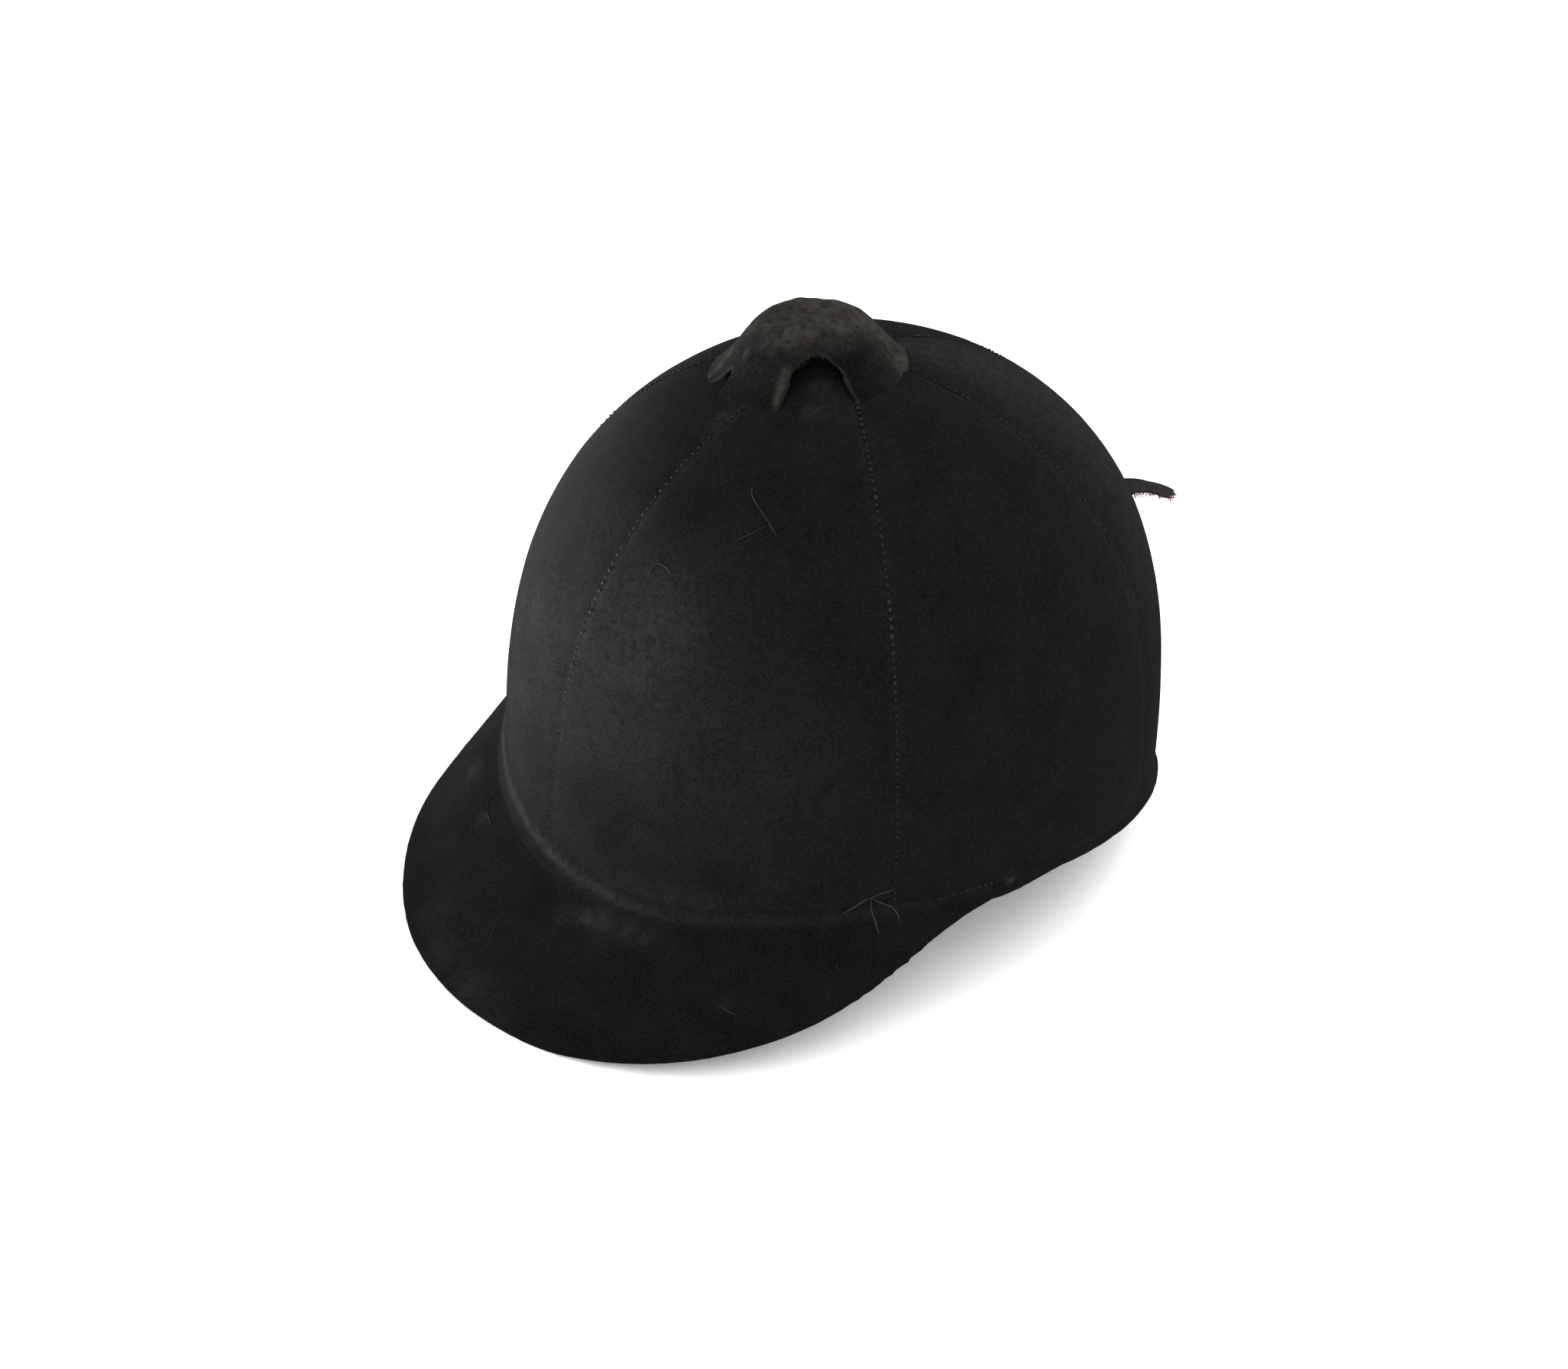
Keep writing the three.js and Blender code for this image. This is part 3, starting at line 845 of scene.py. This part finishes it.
button_spots = soft_patches([
    (1029, 488, 1.5, 0.5), (1024, 500, 1.5, 0.6), (1020, 512, 1.5, 0.6), (1017, 524, 1.4, 0.6), (1014, 532, 1.2, 0.5),
    (930, 490, 1.5, 0.7), (942, 478, 2, 0.5), (955, 462, 2, 0.3), (977, 462, 1.4, 0.4), (1118, 528, 1.4, 0.4),
    (1105, 500, 1.4, 0.3), (1140, 420, 3, 0.3), (1180, 440, 2.5, 0.3), (1186, 470, 2.5, 0.3),
])


def near_turn(turn, middle, width):
    """1 on the spoke at the middle angle, fading to both sides, all in degrees but the turn."""
    off = (math.degrees(turn) - middle + 180) % 360 - 180
    return math.exp(-(off / width) ** 2)


def button_wear(co):
    flat = co / MM - HAT_SHIFT - BUTTON_MIDDLE
    turn = math.atan2(flat.x, -flat.y)
    spoke = round(math.degrees(turn) / SPOKE_TURN) % SPOKES
    radius = math.hypot(flat.x, flat.y)
    inside = edge_radius[spoke] - radius
    lobes = 0.7 * near_turn(turn, 136, 24) + 0.28 * near_turn(turn, -62, 20)
    faded = 0.85 * (1 - ease(radius, 11, 21)) + lobes * ease(radius, 11, 20)
    faded *= (1 + 0.6 * noise.noise(co / (5 * MM))) * (1 - 0.35 * near_turn(turn, -40, 50))
    return 0.03 + 0.9 * faded + 0.05 * math.exp(-(inside / 0.8) ** 2) + button_spots(co)


paint(button, button_wear)
paint(strip, lambda co: 0.15)

# %% [markdown]
# ## Colours
# Colours are picked as the hex values seen on a screen. Blender's shaders work with linear light, so one
# function changes them over. Another adds a node with its settings and its links in one line, which keeps
# the recipes below short enough to read.

# %% Colour and node helpers
def tone(text):
    """Linear colour from an sRGB hex value."""
    parts = [int(text[i:i + 2], 16) / 255 for i in (1, 3, 5)]
    return (*[p / 12.92 if p <= 0.04045 else ((p + 0.055) / 1.055) ** 2.4 for p in parts], 1)


def add(material, kind, settings=None, **inputs):
    """Adds a node, sets its properties and fills its inputs with values or with other nodes' outputs."""
    node = material.node_tree.nodes.new("ShaderNode" + kind)
    for name, value in (settings or {}).items():
        setattr(node, name, value)
    for name, value in inputs.items():
        by_number = name[0] == "i" and name[1:].isdigit()
        socket = node.inputs[int(name[1:]) if by_number else name.replace("_", " ")]
        if isinstance(value, bpy.types.NodeSocket):
            material.node_tree.links.new(value, socket)
        else:
            socket.default_value = value
    return node


def new_material(name):
    material = bpy.data.materials.new(name)
    material.use_nodes = True
    shader = material.node_tree.nodes["Principled BSDF"]
    place = add(material, "TexCoord").outputs["Object"]
    return material, shader, place


def blend_colours(material, share, a, b):
    mix = add(material, "Mix", {"data_type": "RGBA"}, i0=share, i6=a, i7=b)
    return mix.outputs[2]


def scaled(material, value, low, high, to_low=0.0, to_high=1.0):
    return add(material, "MapRange", None, i0=value, i1=low, i2=high, i3=to_low, i4=to_high).outputs[0]


# %% [markdown]
# ## Black velvet
# Velvet is a dense pile of short upright fibres. It looks deep black from above, because light is lost
# between the fibres, and paler at a glancing angle, where the light catches their tips. The shader's sheen
# does exactly that. On top of it come three sizes of unevenness: the pile's grain at about half a
# millimetre, patches where it lies another way at one or two centimetres, and the painted wear, which in
# places also carries painted light and shade.

# %% Velvet recipe
PILE_SHEEN = 0.012


def velvet(name, deep, lifted, worn_and_lit, sheen_colour, grain=0.55, patch=16.0):
    """A velvet from its deep, lifted and worn colours, with the sizes of its grain and patches in mm; the worn colour
    also gives the painted light.
    """
    material, shader, place = new_material(name)
    fine = add(material, "TexNoise", None, Vector=place, Scale=1 / (grain * MM), Detail=2, Roughness=0.6)
    coarse = add(material, "TexNoise", None, Vector=place, Scale=1 / (patch * MM), Detail=2, Distortion=0.2)
    broken = add(material, "TexNoise", None, Vector=place, Scale=1 / (2.2 * MM), Detail=3, Roughness=0.65)
    wear_and_painted_light = add(material, "Attribute", {"attribute_name": "wear_and_painted_light"}).outputs["Fac"]
    grain_share = scaled(material, fine.outputs[0], 0.35, 0.68)
    patch_share = scaled(material, coarse.outputs[0], 0.35, 0.65)
    pile = add(material, "Math", {"operation": "MULTIPLY_ADD"}, i0=grain_share, i1=0.75, i2=0.0)
    pile = add(material, "Math", {"operation": "MULTIPLY_ADD"}, i0=patch_share, i1=0.25, i2=pile.outputs[0])
    colour = blend_colours(material, pile.outputs[0], tone(deep), tone(lifted))
    gaps = scaled(material, broken.outputs[0], 0.3, 0.62, 0.35, 1.25)
    # share of the worn colour: wear, and painted light and shade where the number carries them
    worn_and_lit_share = add(material, "Math", {"operation": "MULTIPLY", "use_clamp": True}, i0=wear_and_painted_light, i1=gaps)
    colour = blend_colours(material, worn_and_lit_share.outputs[0], colour, tone(worn_and_lit))
    rough = scaled(material, fine.outputs[0], 0.3, 0.7, 0.82, 1.0)
    nap = add(material, "Bump", None, Strength=0.06, Distance=0.8 * MM, Height=coarse.outputs[0])
    pile_bump = add(
        material, "Bump", None, Strength=0.55, Distance=0.3 * MM, Height=fine.outputs[0], Normal=nap.outputs[0],
    )
    links = material.node_tree.links
    links.new(colour, shader.inputs["Base Color"])
    links.new(rough, shader.inputs["Roughness"])
    links.new(pile_bump.outputs[0], shader.inputs["Normal"])
    shader.inputs["Specular IOR Level"].default_value = 0.0
    shader.inputs["Sheen Weight"].default_value = PILE_SHEEN
    shader.inputs["Sheen Roughness"].default_value = 0.45
    shader.inputs["Sheen Tint"].default_value = tone(sheen_colour)
    return material


black_velvet = velvet("black_velvet", "#060606", "#121212", "#2f2f2e", "#d9dadb")
peak_velvet = velvet("black_velvet_peak", "#070707", "#141415", "#303031", "#d2d4dc", patch=12.0)
binding_velvet = velvet("black_velvet_binding", "#080808", "#151515", "#2f2e2d", "#d9dadb", patch=9.0)
strip_velvet = velvet("black_velvet_strip", "#101010", "#252524", "#383531", "#d9dadb", patch=6.0)
for gore in gores:
    gore.data.materials.append(black_velvet)
peak.data.materials.append(peak_velvet)
roll.data.materials.append(peak_velvet)
binding.data.materials.append(binding_velvet)
print("velvets:", [m.name for m in bpy.data.materials if "velvet" in m.name])

# %% [markdown]
# ## Faded velvet
# The button's pile is faded to olive brown, with yellower and pinker patches. It uses the same recipe with
# other colours, and a second blend for the patches.

# %% Faded velvet and ground cloth
faded_velvet = velvet("faded_olive_velvet", "#050505", "#101011", "#2b2a26", "#d9d7d0", grain=0.8, patch=7.0)
shader = faded_velvet.node_tree.nodes["Principled BSDF"]
place = faded_velvet.node_tree.nodes["Texture Coordinate"].outputs["Object"]
base = shader.inputs["Base Color"].links[0].from_socket
blotch = add(faded_velvet, "TexNoise", None, Vector=place, Scale=1 / (5 * MM), Detail=2, Distortion=0.6)
wear_and_painted_light = faded_velvet.node_tree.nodes["Attribute"].outputs["Fac"]
for low, high, stain in [(0.52, 0.7, "#2b221d"), (0.5, 0.34, "#2b2a20")]:
    stained = scaled(faded_velvet, blotch.outputs[0], low, high, 0.0, 0.5)
    share = add(faded_velvet, "Math", {"operation": "MULTIPLY", "use_clamp": True}, i0=wear_and_painted_light, i1=stained)
    base = blend_colours(faded_velvet, share.outputs[0], base, tone(stain))
faded_velvet.node_tree.links.new(base, shader.inputs["Base Color"])

WAVE_BAND = 0.314  # width of one band of a wave texture at scale 1


def ground_cloth(name, dark, light):
    """Bare woven ground: two crossed sets of fine threads."""
    material, shader, place = new_material(name)
    fine = WAVE_BAND / (0.5 * MM)
    waves = [
        add(material, "TexWave", {"bands_direction": way}, Vector=place, Scale=fine, Distortion=1.5, Detail=1)
        for way in ("X", "Z")
    ]
    weave = add(material, "Math", {"operation": "MAXIMUM"}, i0=waves[0].outputs[1], i1=waves[1].outputs[1])
    stain = add(material, "TexNoise", None, Vector=place, Scale=1 / (3 * MM), Detail=2)
    share = add(material, "Math", {"operation": "MULTIPLY"}, i0=weave.outputs[0], i1=stain.outputs[0])
    links = material.node_tree.links
    links.new(blend_colours(material, share.outputs[0], tone(dark), tone(light)), shader.inputs["Base Color"])
    bump = add(material, "Bump", None, Strength=0.5, Distance=0.2 * MM, Height=weave.outputs[0])
    links.new(bump.outputs[0], shader.inputs["Normal"])
    shader.inputs["Roughness"].default_value = 0.95
    shader.inputs["Specular IOR Level"].default_value = 0.075
    return material


rosy_ground = ground_cloth("rosy_ground_cloth", "#0d0c0b", "#2c2523")
button.data.materials[0] = faded_velvet
button.data.materials[1] = rosy_ground
strip.data.materials[0] = strip_velvet
strip.data.materials[1] = rosy_ground

# %% [markdown]
# ## Thread and lint
# Thread is twisted, so its colour runs in slanting bands. Lint is paler and has no twist.

# %% Thread materials
def thread_material(name, dark, light, roughness):
    material, shader, place = new_material(name)
    ply = WAVE_BAND / (0.6 * MM)
    way = {"bands_direction": "DIAGONAL"}
    twist = add(material, "TexWave", way, Vector=place, Scale=ply, Distortion=3, Detail=2)
    patchy = add(material, "TexNoise", None, Vector=place, Scale=1 / (6 * MM), Detail=2)
    patches = scaled(material, patchy.outputs[0], 0.35, 0.65, 0, 0.65)
    share = add(material, "Math", {"operation": "MULTIPLY_ADD"}, i0=twist.outputs[1], i1=0.35, i2=patches)
    links = material.node_tree.links
    links.new(blend_colours(material, share.outputs[0], tone(dark), tone(light)), shader.inputs["Base Color"])
    bump = add(material, "Bump", None, Strength=0.6, Distance=0.1 * MM, Height=twist.outputs[1])
    links.new(bump.outputs[0], shader.inputs["Normal"])
    shader.inputs["Roughness"].default_value = roughness
    shader.inputs["Specular IOR Level"].default_value = 0.1
    return material


worn_thread = thread_material("worn_black_thread", "#0b0b0b", "#1e1e1c", 0.8)
pale_thread = thread_material("pale_loose_thread", "#1e1e1d", "#2e2e2c", 0.9)
lint_fibre = thread_material("lint_fibre", "#151617", "#282a2b", 0.9)
rosy_thread = thread_material("rosy_frayed_thread", "#2a1513", "#7a3f39", 0.9)
olive_thread = thread_material("olive_frayed_thread", "#121210", "#2f2c22", 0.9)
for row in stitch_rows:
    row.data.materials.clear()
    row.data.materials.append(worn_thread)
FIBRES = [
    (loose_threads, pale_thread), (lint, lint_fibre), (arch_fray, olive_thread), (strip_fray, rosy_thread),
]
for piece, material in FIBRES:
    piece.data.materials.clear()
    piece.data.materials.append(material)

# %% [markdown]
# ## Floor and light
# The hat stands on a plain pale floor in an even pale surround. The light on its picture-left flank comes from
# below: it fades up the crown and out across the front. Two round lights that lie on the floor give that, and
# a large soft light behind the hat lifts its far side a little.

# %% Floor and light
bpy.ops.object.select_all(action="DESELECT")
bpy.ops.mesh.primitive_plane_add(size=8)
floor = bpy.context.object
floor.name = "floor"
floor_material, shader, place = new_material("plain_pale_floor")
mottle = add(floor_material, "TexNoise", None, Vector=place, Scale=40, Detail=3)
clouds = scaled(floor_material, mottle.outputs[0], 0.3, 0.7)
pale = blend_colours(floor_material, clouds, tone("#f4f4f3"), tone("#f8f8f7"))
floor_material.node_tree.links.new(pale, shader.inputs["Base Color"])
shader.inputs["Roughness"].default_value = 0.9
floor.data.materials.append(floor_material)


def soft_light(name, azimuth, elevation, distance, size, power):
    a, e = math.radians(azimuth), math.radians(elevation)
    way = Vector((math.sin(a) * math.cos(e), -math.cos(a) * math.cos(e), math.sin(e)))
    facing = way.to_track_quat("Z", "Y").to_euler()
    bpy.ops.object.light_add(type="AREA", location=AIM + way * distance, rotation=facing)
    light = bpy.context.object
    light.name = name
    light.data.shape = "SQUARE"
    light.data.size = size
    light.data.energy = power
    return light


def bright_floor(azimuth, power):
    """A round light on the floor beside the hat, which shines up at it and isn't seen itself."""
    light = soft_light(f"bright_floor_{abs(azimuth)}", azimuth, 0, 0.42, 0.36, power)
    light.data.shape = "DISK"
    light.location.z = 3 * MM
    light.rotation_euler = (math.pi, 0, 0)
    light.visible_camera = False
    return light


bright_floor(-25, 23)
bright_floor(-75, 6)
soft_light("soft_behind", 180, 30, 1.6, 1.0, 12)
world = bpy.data.worlds.new("pale_surround")
bpy.context.scene.world = world
world.use_nodes = True
world.node_tree.nodes["Background"].inputs[0].default_value = tone("#fbfcff")
world.node_tree.nodes["Background"].inputs[1].default_value = 2.03
bpy.context.scene.view_settings.view_transform = "Standard"
